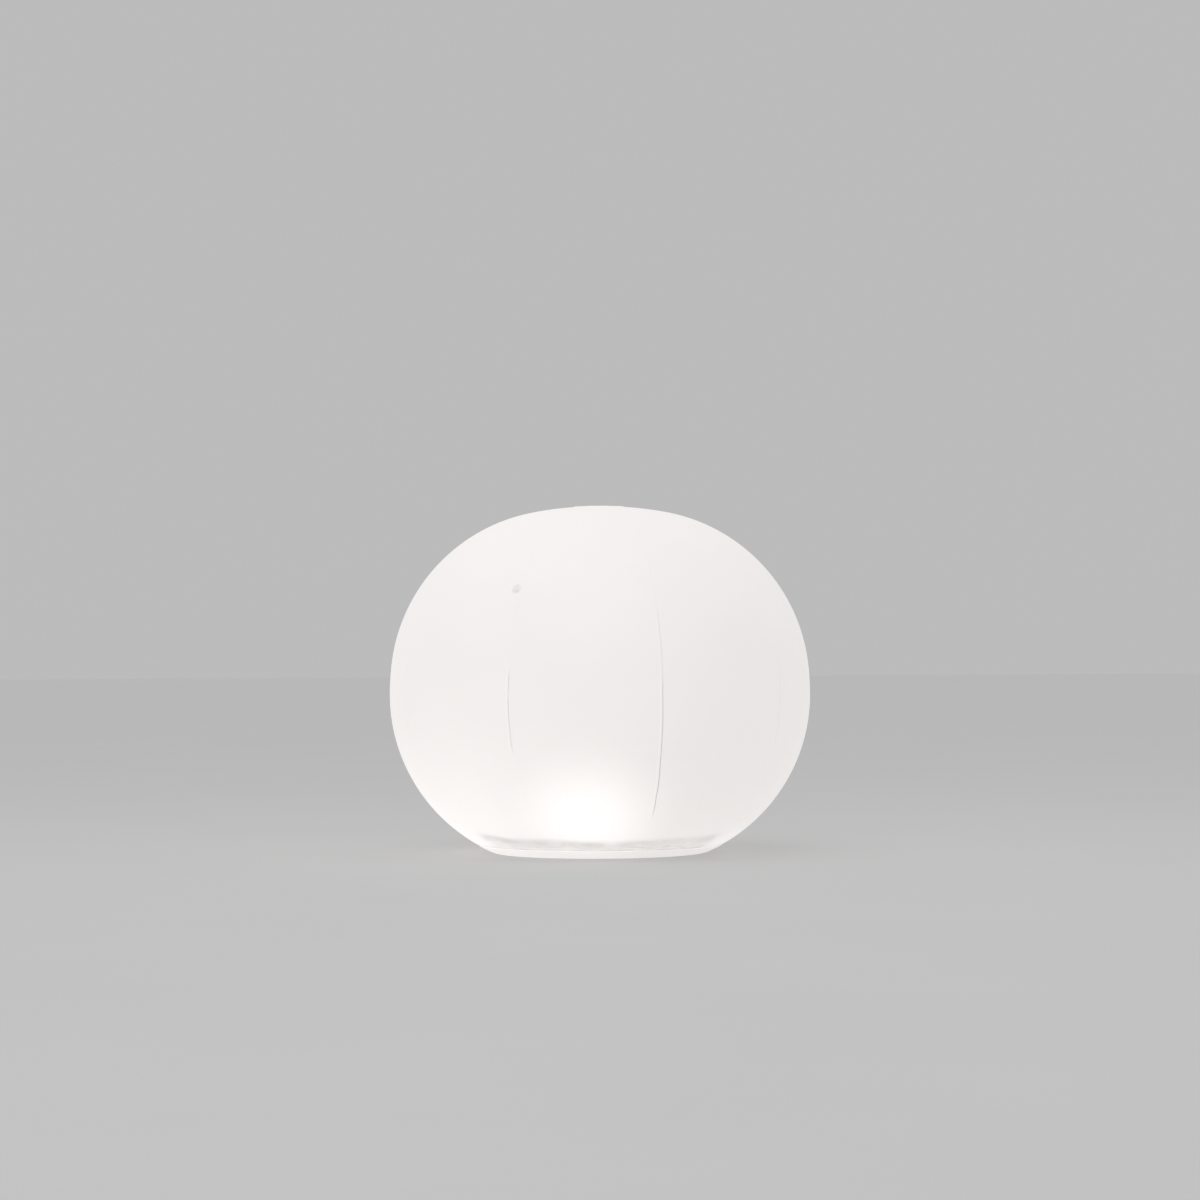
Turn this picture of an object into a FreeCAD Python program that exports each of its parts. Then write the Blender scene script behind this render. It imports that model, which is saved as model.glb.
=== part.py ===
import FreeCAD, Part
import math
import os

# Floating globe light: an air-filled white globe with a rechargeable lamp module in its base.
# Millimetres. The origin is on the ground under the globe's centre, +Z is up and the front is -Y.

Vector = FreeCAD.Vector

# Globe outline, half of a section through the axis
globe_radius = 600.0          # at the equator
globe_height = 989.0
equator_share = 0.457         # of the height
contact_share = 0.4983        # of the radius, where the lower wall's arc meets the ground
shoulder_arc_share = 0.8773   # of the mean of the globe's radius and its height above the equator
shoulder_low_angle = 7.1      # of the shoulder arc's normals above the horizontal
shoulder_high_angle = 79.3

# Envelope film
gore_count = 9
strips_per_gore = 3           # each gore is straight across in this many strips
panel_length = 100.0          # the strips are straight up the globe in lengths of at most this
front_seam_angle = 16.5       # degrees from the front, towards the right
skin_thickness = 0.5
weld_gap = 0.05               # between films that are welded
gore_top_radius = 55.0
crown_disc_radius = 75.0
base_thickness = 1.0
base_corner_radius = 60.0
base_seam_height = 22.0       # the upper edge of the base panel
gore_foot_lap = 4.0           # from the base corner's end up to the gores' lower ends

# Tether tab at the back
tab_width = 50.0
tab_thickness = 2.0
tab_root_length = 20.0
tab_free_length = 62.0
eyelet_bore_radius = 6.0
eyelet_radius = 10.0
eyelet_stand_out = 0.7        # of the eyelet from each face of the tab
eyelet_setback = 25.0         # from the tab's free end to the eyelet's centre

# Inflation valve, on the upper left of the front
valve_angle = -25.4
valve_height_share = 0.7533   # of the globe's height
valve_flange_radius = 14.0
valve_flange_thickness = 1.0
valve_bore_radius = 6.0
valve_tube_wall = 2.0
valve_tube_depth = 16.0
valve_hole_clearance = 0.5
plug_clearance = 0.08
plug_stem_length = 11.0
plug_cap_radius = 8.6
plug_cap_thickness = 2.5
plug_grip_reach = 4.5
plug_grip_width = 6.0
strap_thickness = 0.8
strap_width = 5.0
strap_stem_gap = 0.6
strap_end_inset = 1.0
flap_thickness = 0.8
flap_overlap = 1.4            # of the check flap over the tube's bore
flap_tongue_width = 5.0

# Lamp port in the base
port_offset = -46.0           # the port's centre along X
port_hole_clearance = 3.5     # round the collar's bore
collar_clearance = 1.1        # round the housing's flange
collar_wall = 4.5
collar_flange_reach = 35.0    # out from the neck
collar_flange_thickness = 2.5
collar_ledge_clearance = 1.6  # round the housing
collar_ledge_thickness = 3.5
collar_rib_count = 8
collar_rib_thickness = 2.0
collar_rib_reach = 24.0
collar_rib_height = 9.0

# Lock ring
ring_recess = 2.0             # from the ground up to the ring's underside
ring_height = 9.4
ring_clearance = 0.1
ring_width = 10.4
ring_grip_count = 6
ring_grip_width = 10.0
ring_grip_reach = 6.0
ring_grip_height = 6.0

# Lamp housing
face_gap = 0.1                # between flat faces that move on each other
housing_radius = 80.0
housing_flange_reach = 7.4
housing_flange_thickness = 3.5
housing_seal_thickness = 1.0
housing_seal_inset = 1.2
housing_wall = 4.0
housing_floor = 3.0
pillar_width = 8.0
pillar_inset = 2.0            # from the heat sink's edges
board_rib_thickness = 2.0
board_rib_height = 5.5
board_rib_inset = 6.0         # from the board's edge

# Control board
board_length_share = 0.632    # of the housing's bore
board_thickness = 1.6
component_width = 8.0
component_heights = (5.0, 10.0)
component_inset = 1.5         # from the board's edge
component_count = 4           # along each side of the battery

# Power button and its switch
button_place = 30.0           # from the module's axis along +X
button_radius = 9.0
button_clearance = 0.1
button_stand_out = 2.6        # under the housing's floor
button_collar_width = 3.0
button_collar_thickness = 1.2
button_travel = 1.5
plunger_width = 4.0
plunger_length = 2.4
plunger_clearance = 0.3
switch_width = 14.0

# Charging socket and its cover
socket_place = 30.0           # from the module's axis along -X
socket_width = 12.0
socket_clearance = 0.2
socket_recess = 1.5
socket_bore_radius = 2.75
socket_bore_depth = 5.5
socket_pin_radius = 1.0
flap_length = 23.0            # from the fold to the tip
flap_width = 18.0
flap_plate_thickness = 2.2
flap_plug_clearance = 0.3
flap_plug_height = 1.2
fold_offset = 12.5            # from the socket's axis to the cover's fold
fold_gap = 0.3
strap_pad_length = 7.0
strap_key_length = 3.0
strap_key_width = 10.0

# Battery
cell_radius = 13.0
cell_length = 65.0
cell_gap = 1.0                # between neighbouring cells
tray_floor = 2.4
tray_wall = 2.0
tray_height = 28.0
tray_clearance = 0.5
pad_thickness = 2.0

# Light engine
sink_share = 0.658            # of the housing's bore
sink_thickness = 4.0
sink_fin_count = 3            # on each side of the battery
sink_fin_thickness = 1.6
sink_fin_spacing = 4.0
sink_fin_depth = 11.0
sink_fin_gap = 2.0            # from the pillars and the battery's pad
led_board_inset = 2.0         # from the heat sink's edges
led_board_thickness = 1.6
led_width = 5.0
led_height = 1.6
led_ring_radii = (20.0, 42.0)
led_ring_counts = (6, 12)
lens_height = 40.0
lens_wall = 3.0

overrun = 5.0                 # how far cutting tools run past what they cut
origin = Vector(0, 0, 0)
up = Vector(0, 0, 1)

# Sizes across that follow from the housing's radius
housing_flange_radius = housing_radius + housing_flange_reach
collar_ledge_radius = housing_radius + collar_ledge_clearance
collar_bore_radius = housing_flange_radius + collar_clearance
port_hole_radius = collar_bore_radius + port_hole_clearance
housing_bore = 2 * (housing_radius - housing_wall)
board_length = housing_bore * board_length_share
sink_width = housing_bore * sink_share
pillar_place = (sink_width - pillar_width) / 2 - pillar_inset
board_width = 2 * pillar_place - pillar_width
tray_inner = 4 * cell_radius + cell_gap + 2 * tray_clearance
tray_outer = tray_inner + 2 * tray_wall

# Heights above the ground that stack up from the sizes above
ring_top = ring_recess + ring_height
flange_low = ring_top + face_gap
flange_top = flange_low + housing_flange_thickness
collar_ledge_low = flange_top + housing_seal_thickness
collar_top = collar_ledge_low + collar_ledge_thickness
floor_top = flange_low + housing_floor
board_low = floor_top + board_rib_height
board_top = board_low + board_thickness
cell_low = board_top + tray_floor
cell_top = cell_low + cell_length
sink_low = cell_top + pad_thickness
sink_top = sink_low + sink_thickness
housing_top = sink_low
led_board_top = sink_top + led_board_thickness


# Outline of the globe: four arcs, each tangent to the next, from the ground up to the crown
equator_height = globe_height * equator_share
overhang = globe_radius - globe_radius * contact_share
lower_arc_radius = (overhang ** 2 + equator_height ** 2) / (2 * overhang)
lower_centre = (globe_radius - lower_arc_radius, equator_height)

# The arcs at the equator and the crown take up what the shoulder's arc leaves of the height and radius
rise = globe_height - equator_height
shoulder_start = math.radians(shoulder_low_angle)
shoulder_end = math.radians(shoulder_high_angle)
shoulder_arc_radius = shoulder_arc_share * math.sqrt(globe_radius * rise)
height_left = rise - shoulder_arc_radius * (math.sin(shoulder_end) - math.sin(shoulder_start))
radius_left = globe_radius - shoulder_arc_radius * (math.cos(shoulder_start) - math.cos(shoulder_end))
equator_up, equator_in = math.sin(shoulder_start), 1 - math.cos(shoulder_start)
crown_up, crown_in = 1 - math.sin(shoulder_end), math.cos(shoulder_end)
divisor = equator_up * crown_in - crown_up * equator_in
equator_arc_radius = (height_left * crown_in - radius_left * crown_up) / divisor
crown_arc_radius = (radius_left * equator_up - height_left * equator_in) / divisor
equator_centre = (globe_radius - equator_arc_radius, equator_height)
crown_centre = (0, globe_height - crown_arc_radius)
shoulder_centre = (crown_in * (crown_arc_radius - shoulder_arc_radius),
                   crown_centre[1] + (1 - crown_up) * (crown_arc_radius - shoulder_arc_radius))
valve_height = globe_height * valve_height_share

# The base panel's corner is tangent to the ground and to the lower wall
base_arc_radius = lower_arc_radius + weld_gap + base_thickness
corner_centre_r = lower_centre[0] + math.sqrt((base_arc_radius - base_corner_radius) ** 2
                                              - (equator_height - base_corner_radius) ** 2)
corner_centre = (corner_centre_r, base_corner_radius)
corner_end = math.atan2(corner_centre[1] - lower_centre[1], corner_centre[0] - lower_centre[0])
seam_angle_low = math.asin((base_seam_height - equator_height) / base_arc_radius)
gore_foot_angle = corner_end + gore_foot_lap / lower_arc_radius


def in_lengths(centre, radius, first, last):
    """An arc shared out evenly into lengths that the film spans in straight panels."""
    count = math.ceil((last - first) * radius / panel_length)
    step = (last - first) / count
    return [(centre, radius, first + step * index, first + step * (index + 1), True)
            for index in range(count)]


def outline():
    """The gores' lengths, foot to tip: centre, radius, first and last angle, straight or not."""
    disc_angle = math.acos(crown_disc_radius / crown_arc_radius)
    top_angle = math.acos(gore_top_radius / crown_arc_radius)
    return [(lower_centre, lower_arc_radius, gore_foot_angle, seam_angle_low, False),
            *in_lengths(lower_centre, lower_arc_radius, seam_angle_low, 0.0),
            *in_lengths(equator_centre, equator_arc_radius, 0.0, shoulder_start),
            *in_lengths(shoulder_centre, shoulder_arc_radius, shoulder_start, shoulder_end),
            *in_lengths(crown_centre, crown_arc_radius, shoulder_end, disc_angle),
            (crown_centre, crown_arc_radius, disc_angle, top_angle, False)]


def in_section(r, z):
    return Vector(r, 0, z)


def on_arc(arc, share, inset):
    """A point on an arc of the outline, moved inwards."""
    centre, radius, first, last = arc[:4]
    angle = first + (last - first) * share
    return in_section(centre[0] + (radius - inset) * math.cos(angle),
                      centre[1] + (radius - inset) * math.sin(angle))


def line(start, end):
    return Part.LineSegment(start, end).toShape()


def arc_edge(arc, inset, backwards=False):
    middle_share = 0.5
    start, middle, end = (on_arc(arc, share, inset) for share in (0, middle_share, 1))
    if backwards:
        start, end = end, start
    if arc[4]:
        return line(start, end)
    return Part.Arc(start, middle, end).toShape()


def film_face(arcs, outer_inset, inner_inset):
    """The section of a film that follows the arcs between two insets."""
    edges = [arc_edge(arc, outer_inset) for arc in arcs]
    edges.append(line(on_arc(arcs[-1], 1, outer_inset), on_arc(arcs[-1], 1, inner_inset)))
    edges += [arc_edge(arc, inner_inset, backwards=True) for arc in reversed(arcs)]
    edges.append(line(on_arc(arcs[0], 0, inner_inset), on_arc(arcs[0], 0, outer_inset)))
    return Part.Face(Part.Wire(edges))


def outline_at(height):
    """Distance from the axis and outward slope, in degrees, where a straight length has a height."""
    for arc in outline():
        low, high = on_arc(arc, 0, 0), on_arc(arc, 1, 0)
        if arc[4] and low.z <= height <= high.z:
            distance = low.x + (high.x - low.x) * (height - low.z) / (high.z - low.z)
            return distance, math.degrees((arc[2] + arc[3]) / 2)
    raise ValueError("height outside the outline")


# General shapes
def turned(points):
    """A solid of revolution about Z from a closed outline of (r, z) corners."""
    wire = Part.makePolygon([in_section(r, z) for r, z in points + points[:1]])
    return Part.Face(wire).revolve(origin, up, 360)


def post(radius, low, high, x=0.0, y=0.0):
    return Part.makeCylinder(radius, high - low, Vector(x, y, low), up)


def block(length, width, low, high, x=0.0, y=0.0):
    """A box centred on x and y."""
    return Part.makeBox(length, width, high - low, Vector(x - length / 2, y - width / 2, low))


def around(shape, angle):
    return shape.rotated(origin, up, angle)


def repeated(shape, count):
    """Copies of a shape, evenly spaced round Z."""
    return [around(shape, 360.0 * index / count) for index in range(count)]


def facing(angle):
    """The turn about Z that takes +X to an angle counted from the front towards the right."""
    quarter = 90.0
    return angle - quarter


def at_port(shape):
    return shape.translated(Vector(port_offset, 0, 0))


# Film in straight strips, each flat across from one wedge-shaped edge to the other
strip_count = gore_count * strips_per_gore
strip_angle = 360.0 / strip_count


def strip(section):
    """A section of film drawn out straight across and trimmed to one strip's wedge, centred on +X."""
    slope = math.tan(math.radians(strip_angle / 2))
    far = globe_radius + overrun
    half = far * slope + overrun
    band = section.translated(Vector(0, -half, 0)).extrude(Vector(0, 2 * half, 0))
    low = Vector(0, 0, -overrun)
    corners = [low, Vector(far, -far * slope, -overrun), Vector(far, far * slope, -overrun), low]
    wedge = Part.Face(Part.makePolygon(corners)).extrude(up * (globe_height + 2 * overrun))
    return band.common(wedge)


def strips_joined(section, count):
    """Neighbouring strips as one film, counted on from the seam right of the front."""
    first = facing(front_seam_angle) + strip_angle / 2
    pieces = [around(strip(section), first + strip_angle * index) for index in range(count)]
    return pieces[0].fuse(pieces[1:])


def strip_middle(angle):
    """The middle of the strip that an angle from the front falls in."""
    index = (angle - front_seam_angle) // strip_angle
    return front_seam_angle + strip_angle * index + strip_angle / 2


# Envelope
def make_gores():
    """The gore panels, in order from the seam right of the front; one has the valve's hole."""
    span = 360.0 / gore_count
    blank = strips_joined(film_face(outline(), 0, skin_thickness), strips_per_gore)
    valve_gore = int(((valve_angle - front_seam_angle) % 360) // span)
    hole_radius = valve_bore_radius + valve_tube_wall + valve_hole_clearance
    gores = [around(blank, span * index) for index in range(gore_count)]
    gores[valve_gore] = gores[valve_gore].cut(at_valve(post(hole_radius, -overrun, overrun)))
    return gores


def make_crown_disc():
    """A round patch welded over the gores' tips."""
    low = math.acos(crown_disc_radius / crown_arc_radius)
    cap = (crown_centre, crown_arc_radius + weld_gap + skin_thickness, low, math.pi / 2, False)
    return strips_joined(film_face([cap], 0, skin_thickness), strip_count)


def make_base_panel():
    """The flat base with its rolled corner and the edge that laps up outside the gores."""
    corner = (corner_centre, base_corner_radius, -math.pi / 2, corner_end, False)
    wall = (lower_centre, base_arc_radius, corner_end, seam_angle_low, False)
    edges = [line(in_section(0, 0), on_arc(corner, 0, 0)),
             arc_edge(corner, 0),
             arc_edge(wall, 0),
             line(on_arc(wall, 1, 0), on_arc(wall, 1, base_thickness)),
             arc_edge(wall, base_thickness, backwards=True),
             arc_edge(corner, base_thickness, backwards=True),
             line(on_arc(corner, 0, base_thickness), in_section(0, base_thickness)),
             line(in_section(0, base_thickness), in_section(0, 0))]
    panel = strips_joined(Part.Face(Part.Wire(edges)), strip_count)
    return panel.cut(at_port(post(port_hole_radius, -overrun, overrun)))


# Tether tab: it starts on the base panel's lapped edge and runs straight on along the wall
back = 180.0
tab_start_radius = base_arc_radius + weld_gap
tab_start = in_section(lower_centre[0] + tab_start_radius * math.cos(seam_angle_low),
                       lower_centre[1] + tab_start_radius * math.sin(seam_angle_low))
tab_along = in_section(-math.sin(seam_angle_low), math.cos(seam_angle_low))
tab_outward = in_section(math.cos(seam_angle_low), math.sin(seam_angle_low))
eyelet_centre = (tab_start + tab_along * (tab_free_length - eyelet_setback)
                 + tab_outward * (tab_thickness / 2))


def at_tab(shape):
    return around(shape, facing(strip_middle(back)))


def through_tab(radius, half_length):
    """A round tool or part on the eyelet's axis, to both sides of the tab's middle."""
    foot = eyelet_centre - tab_outward * half_length
    return Part.makeCylinder(radius, 2 * half_length, foot, tab_outward)


def make_tether_tab():
    root_radius = tab_start_radius + tab_thickness
    root = (lower_centre, root_radius, seam_angle_low - tab_root_length / root_radius, seam_angle_low,
            False)
    shoulder = eyelet_centre - tab_outward * (tab_thickness / 2)
    outer = tab_outward * tab_thickness
    edges = [arc_edge(root, tab_thickness),
             line(tab_start, shoulder),
             line(shoulder, shoulder + outer),
             line(shoulder + outer, tab_start + outer),
             arc_edge(root, 0, backwards=True),
             line(on_arc(root, 0, 0), on_arc(root, 0, tab_thickness))]
    tongue = Part.Face(Part.Wire(edges)).extrude(Vector(0, tab_width, 0))
    tongue = tongue.translated(Vector(0, -tab_width / 2, 0))
    tongue = tongue.fuse(through_tab(tab_width / 2, tab_thickness / 2))
    return at_tab(tongue.cut(through_tab(eyelet_radius, tab_thickness)))


def make_tether_eyelet():
    half = tab_thickness / 2 + eyelet_stand_out
    return at_tab(through_tab(eyelet_radius, half).cut(through_tab(eyelet_bore_radius, half + overrun)))


# Inflation valve, made in its own frame with the skin at zero and +Z outwards
flange_face = weld_gap + valve_flange_thickness
tube_radius = valve_bore_radius + valve_tube_wall
stem_radius = valve_bore_radius - plug_clearance
cap_low = flange_face + strap_thickness + face_gap


def at_valve(shape):
    """Moves a shape from the valve's own frame to its place on its strip of the skin."""
    distance, slope = outline_at(valve_height)
    middle = strip_middle(valve_angle)
    aside = distance * math.tan(math.radians(valve_angle - middle))
    quarter = 90.0
    shape = shape.rotated(origin, Vector(0, 1, 0), quarter - slope)
    shape = shape.translated(Vector(distance, aside, valve_height))
    return around(shape, facing(middle))


def make_valve_body():
    """The weld flange and the tube that hangs inside the globe."""
    return at_valve(turned([(valve_bore_radius, -valve_tube_depth),
                            (tube_radius, -valve_tube_depth),
                            (tube_radius, weld_gap),
                            (valve_flange_radius, weld_gap),
                            (valve_flange_radius, flange_face),
                            (valve_bore_radius, flange_face)]))


def make_valve_plug():
    cap_high = cap_low + plug_cap_thickness
    stem = post(stem_radius, -plug_stem_length, cap_high)
    cap = post(plug_cap_radius, cap_low, cap_high)
    reach = plug_cap_radius + plug_grip_reach
    grip = block(reach, plug_grip_width, cap_low + plug_cap_thickness / 2, cap_high, -reach / 2)
    return at_valve(stem.fuse([cap, grip]))


def make_valve_strap():
    """The strap that ties the plug to the flange, from beside the stem to the flange's edge."""
    start = stem_radius + strap_stem_gap
    end = valve_flange_radius - strap_end_inset
    return at_valve(block(end - start, strap_width, flange_face, flange_face + strap_thickness,
                          (start + end) / 2))


def make_valve_flap():
    """The check flap under the tube's inner end, hung from a tongue on its upper side."""
    high = -valve_tube_depth - face_gap
    low = high - flap_thickness
    disc = post(valve_bore_radius + flap_overlap, low, high)
    tongue = block(tube_radius, flap_tongue_width, low, high, -tube_radius / 2)
    return at_valve(disc.fuse(tongue))


# Lamp port
def make_port_collar():
    """The moulded collar on the base panel: weld flange, neck, seal ledge and ribs."""
    low = base_thickness
    neck_radius = collar_bore_radius + collar_wall
    flange_high = low + collar_flange_thickness
    collar = turned([(collar_bore_radius, low),
                     (neck_radius + collar_flange_reach, low),
                     (neck_radius + collar_flange_reach, flange_high),
                     (neck_radius, flange_high),
                     (neck_radius, collar_top),
                     (collar_ledge_radius, collar_top),
                     (collar_ledge_radius, collar_ledge_low),
                     (collar_bore_radius, collar_ledge_low)])
    root = neck_radius - collar_wall / 2
    rib_low = flange_high - collar_flange_thickness / 2
    rib_points = [(root, rib_low),
                  (neck_radius + collar_rib_reach, rib_low),
                  (neck_radius + collar_rib_reach, flange_high),
                  (neck_radius, flange_high + collar_rib_height),
                  (root, flange_high + collar_rib_height)]
    wire = Part.makePolygon([in_section(r, z) for r, z in rib_points + rib_points[:1]])
    rib = Part.Face(wire).extrude(Vector(0, collar_rib_thickness, 0))
    rib = rib.translated(Vector(0, -collar_rib_thickness / 2, 0))
    return at_port(collar.fuse(repeated(rib, collar_rib_count)))


def make_lock_ring():
    """The ring that screws up into the collar, with grips inside it for the fingers."""
    outer = collar_bore_radius - ring_clearance
    inner = outer - ring_width
    body = turned([(inner, ring_recess),
                   (outer, ring_recess),
                   (outer, ring_top),
                   (inner, ring_top)])
    root = (inner + outer) / 2
    inner -= ring_grip_reach
    grip = block(root - inner, ring_grip_width, ring_recess, ring_recess + ring_grip_height,
                 (root + inner) / 2)
    return at_port(body.fuse(repeated(grip, ring_grip_count)))


# Lamp housing
def make_housing():
    """The cup with its clamping flange, ribs for the board, pillars for the heat sink and openings."""
    bore = housing_bore / 2
    cup = turned([(0, flange_low),
                  (housing_flange_radius, flange_low),
                  (housing_flange_radius, flange_top),
                  (housing_radius, flange_top),
                  (housing_radius, housing_top),
                  (bore, housing_top),
                  (bore, floor_top),
                  (0, floor_top)])
    root = floor_top - housing_floor / 2
    rib_place = board_width / 2 - board_rib_inset
    inside = []
    for side in (-1, 1):
        inside.append(block(board_length, board_rib_thickness, root, board_low, 0, side * rib_place))
        for end in (-1, 1):
            inside.append(block(pillar_width, pillar_width, root, sink_low,
                                end * pillar_place, side * pillar_place))
    socket_opening = socket_width + 2 * socket_clearance
    low, high = flange_low - overrun, floor_top + overrun
    openings = [post(button_radius + button_clearance, low, high, button_place),
                block(socket_opening, socket_opening, low, high, -socket_place),
                block(strap_key_length, strap_key_width, low, high, strap_key_x)]
    return at_port(cup.fuse(inside).cut(openings))


def make_housing_seal():
    inner = collar_ledge_radius + housing_seal_inset
    outer = housing_flange_radius - housing_seal_inset
    return at_port(turned([(inner, flange_top),
                           (outer, flange_top),
                           (outer, collar_ledge_low),
                           (inner, collar_ledge_low)]))


def make_lens_cap():
    """The frosted cap on the housing's rim."""
    top = housing_top + lens_height
    inner = housing_radius - lens_wall
    return at_port(turned([(inner, housing_top),
                           (housing_radius, housing_top),
                           (housing_radius, top),
                           (0, top),
                           (0, top - lens_wall),
                           (inner, top - lens_wall)]))


# Charging socket and its cover, which swings down about a fold beside its glued strap
fold_x = -socket_place - fold_offset
strap_key_x = fold_x - strap_pad_length / 2
cover_high = flange_low - face_gap
cover_low = cover_high - flap_plate_thickness


def make_charge_socket():
    """A round power socket: a square body with a bore and its centre pin."""
    low = flange_low + socket_recess
    bore_end = low + socket_bore_depth
    body = block(socket_width, socket_width, low, board_low, -socket_place)
    bore = post(socket_bore_radius, low - overrun, bore_end, -socket_place)
    pin = post(socket_pin_radius, low - overrun, bore_end, -socket_place)
    return at_port(body.cut(bore.cut(pin)))


def make_charge_cover():
    """The rubber cover's plate and the plug that fits the opening round the socket."""
    start = fold_x + fold_gap
    plate = block(flap_length - fold_gap, flap_width, cover_low, cover_high,
                  (start + fold_x + flap_length) / 2)
    plug_width = socket_width + 2 * socket_clearance - 2 * flap_plug_clearance
    plug = block(plug_width, plug_width, cover_high, cover_high + flap_plug_height, -socket_place)
    return at_port(plate.fuse(plug))


def make_charge_strap():
    """The glued end of the charging cover: a pad under the floor and a key through it."""
    pad = block(strap_pad_length, flap_width, cover_low, flange_low, fold_x - strap_pad_length / 2)
    key = block(strap_key_length, strap_key_width, flange_low, floor_top, strap_key_x)
    return at_port(pad.fuse(key))


# Power button and its switch
def make_power_button():
    """The button's cap, its collar inside the housing's floor and the plunger in the switch."""
    collar_low = floor_top + face_gap
    collar_high = collar_low + button_collar_thickness
    cap = post(button_radius, flange_low - button_stand_out, collar_high, button_place)
    collar_width = 2 * (button_radius + button_collar_width)
    collar = block(collar_width, collar_width, collar_low, collar_high, button_place)
    plunger = block(plunger_width, plunger_width, collar_high, collar_high + plunger_length, button_place)
    return at_port(cap.fuse([collar, plunger]))


def make_push_switch():
    low = floor_top + face_gap + button_collar_thickness + button_travel + face_gap
    body = block(switch_width, switch_width, low, board_low, button_place)
    opening = plunger_width + 2 * plunger_clearance
    return at_port(body.cut(block(opening, opening, low - overrun, board_low + overrun, button_place)))


# Electronics and battery
def make_control_board():
    return at_port(block(board_length, board_width, board_low, board_top))


def make_board_components():
    """Chips, coils and connectors that stand in rows on both sides of the battery."""
    row_place = (board_length - component_width) / 2 - component_inset
    end_place = (board_width - component_width) / 2 - component_inset
    spacing = 2 * end_place / (component_count - 1)
    parts = []
    for side in (-1, 1):
        for index in range(component_count):
            height = component_heights[index % len(component_heights)]
            parts.append(block(component_width, component_width, board_top, board_top + height,
                               side * row_place, side * (spacing * index - end_place)))
    return at_port(Part.makeCompound(parts))


def make_battery_cells():
    """Four cylindrical cells that stand two by two."""
    half_pitch = cell_radius + cell_gap / 2
    return [at_port(post(cell_radius, cell_low, cell_top, x * half_pitch, y * half_pitch))
            for y in (-1, 1) for x in (-1, 1)]


def make_battery_tray():
    body = block(tray_outer, tray_outer, board_top, board_top + tray_height)
    pocket = block(tray_inner, tray_inner, cell_low, board_top + tray_height + overrun)
    return at_port(body.cut(pocket))


def make_battery_pad():
    """The foam that presses the cells down from the heat sink."""
    return at_port(block(tray_inner, tray_inner, cell_top, sink_low))


# Light engine
def make_heat_sink():
    """A plate on the housing's pillars with straight cooling fins beside the battery."""
    plate = block(sink_width, sink_width, sink_low, sink_top)
    root = sink_low + sink_thickness / 2
    length = 2 * (pillar_place - pillar_width / 2 - sink_fin_gap)
    place = tray_inner / 2 + sink_fin_gap + sink_fin_thickness / 2
    fins = [block(length, sink_fin_thickness, sink_low - sink_fin_depth, root,
                  0, side * (place + sink_fin_spacing * index))
            for side in (-1, 1) for index in range(sink_fin_count)]
    return at_port(plate.fuse(fins))


def make_led_board():
    width = sink_width - 2 * led_board_inset
    return at_port(block(width, width, sink_top, led_board_top))


def make_leds():
    chips = []
    for radius, count in zip(led_ring_radii, led_ring_counts):
        chip = block(led_width, led_width, led_board_top, led_board_top + led_height, radius)
        chips += repeated(chip, count)
    return at_port(Part.makeCompound(chips))


def numbered(name, shapes):
    return {f"{name}_{index + 1}": shape for index, shape in enumerate(shapes)}


def make_parts():
    """All sub-parts by name."""
    return {
        **numbered("gore_panel", make_gores()),
        "crown_disc": make_crown_disc(),
        "base_panel": make_base_panel(),
        "port_collar": make_port_collar(),
        "tether_tab": make_tether_tab(),
        "tether_eyelet": make_tether_eyelet(),
        "valve_body": make_valve_body(),
        "valve_plug": make_valve_plug(),
        "valve_strap": make_valve_strap(),
        "valve_flap": make_valve_flap(),
        "lock_ring": make_lock_ring(),
        "lamp_housing": make_housing(),
        "housing_seal": make_housing_seal(),
        "lens_cap": make_lens_cap(),
        "charge_socket": make_charge_socket(),
        "charge_cover": make_charge_cover(),
        "charge_strap": make_charge_strap(),
        "power_button": make_power_button(),
        "push_switch": make_push_switch(),
        "control_board": make_control_board(),
        "board_components": make_board_components(),
        **numbered("battery_cell", make_battery_cells()),
        "battery_tray": make_battery_tray(),
        "battery_pad": make_battery_pad(),
        "heat_sink": make_heat_sink(),
        "led_board": make_led_board(),
        "leds": make_leds(),
    }


os.makedirs("parts", exist_ok=True)
for name, shape in make_parts().items():
    shape.exportStep(f"parts/{name}.step")
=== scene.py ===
import bpy
import bmesh
import math
from mathutils import Matrix, Vector


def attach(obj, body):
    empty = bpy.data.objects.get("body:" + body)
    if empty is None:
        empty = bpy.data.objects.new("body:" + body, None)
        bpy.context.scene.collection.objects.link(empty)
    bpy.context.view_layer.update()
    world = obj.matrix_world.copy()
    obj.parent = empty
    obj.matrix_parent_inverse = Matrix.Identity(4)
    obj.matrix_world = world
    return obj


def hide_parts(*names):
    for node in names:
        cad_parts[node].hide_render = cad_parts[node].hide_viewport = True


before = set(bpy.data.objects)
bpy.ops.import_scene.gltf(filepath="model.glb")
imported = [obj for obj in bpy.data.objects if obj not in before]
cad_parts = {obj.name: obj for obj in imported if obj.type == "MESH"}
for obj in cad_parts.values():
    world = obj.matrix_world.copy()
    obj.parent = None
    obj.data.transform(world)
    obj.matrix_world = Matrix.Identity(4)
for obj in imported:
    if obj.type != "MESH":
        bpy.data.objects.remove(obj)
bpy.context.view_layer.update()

# Floating globe light, lit, in metres. The origin is on the ground under the globe's centre, +Z is up
# and the photograph's side is -Y. Angles go round from the front towards +X.

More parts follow.
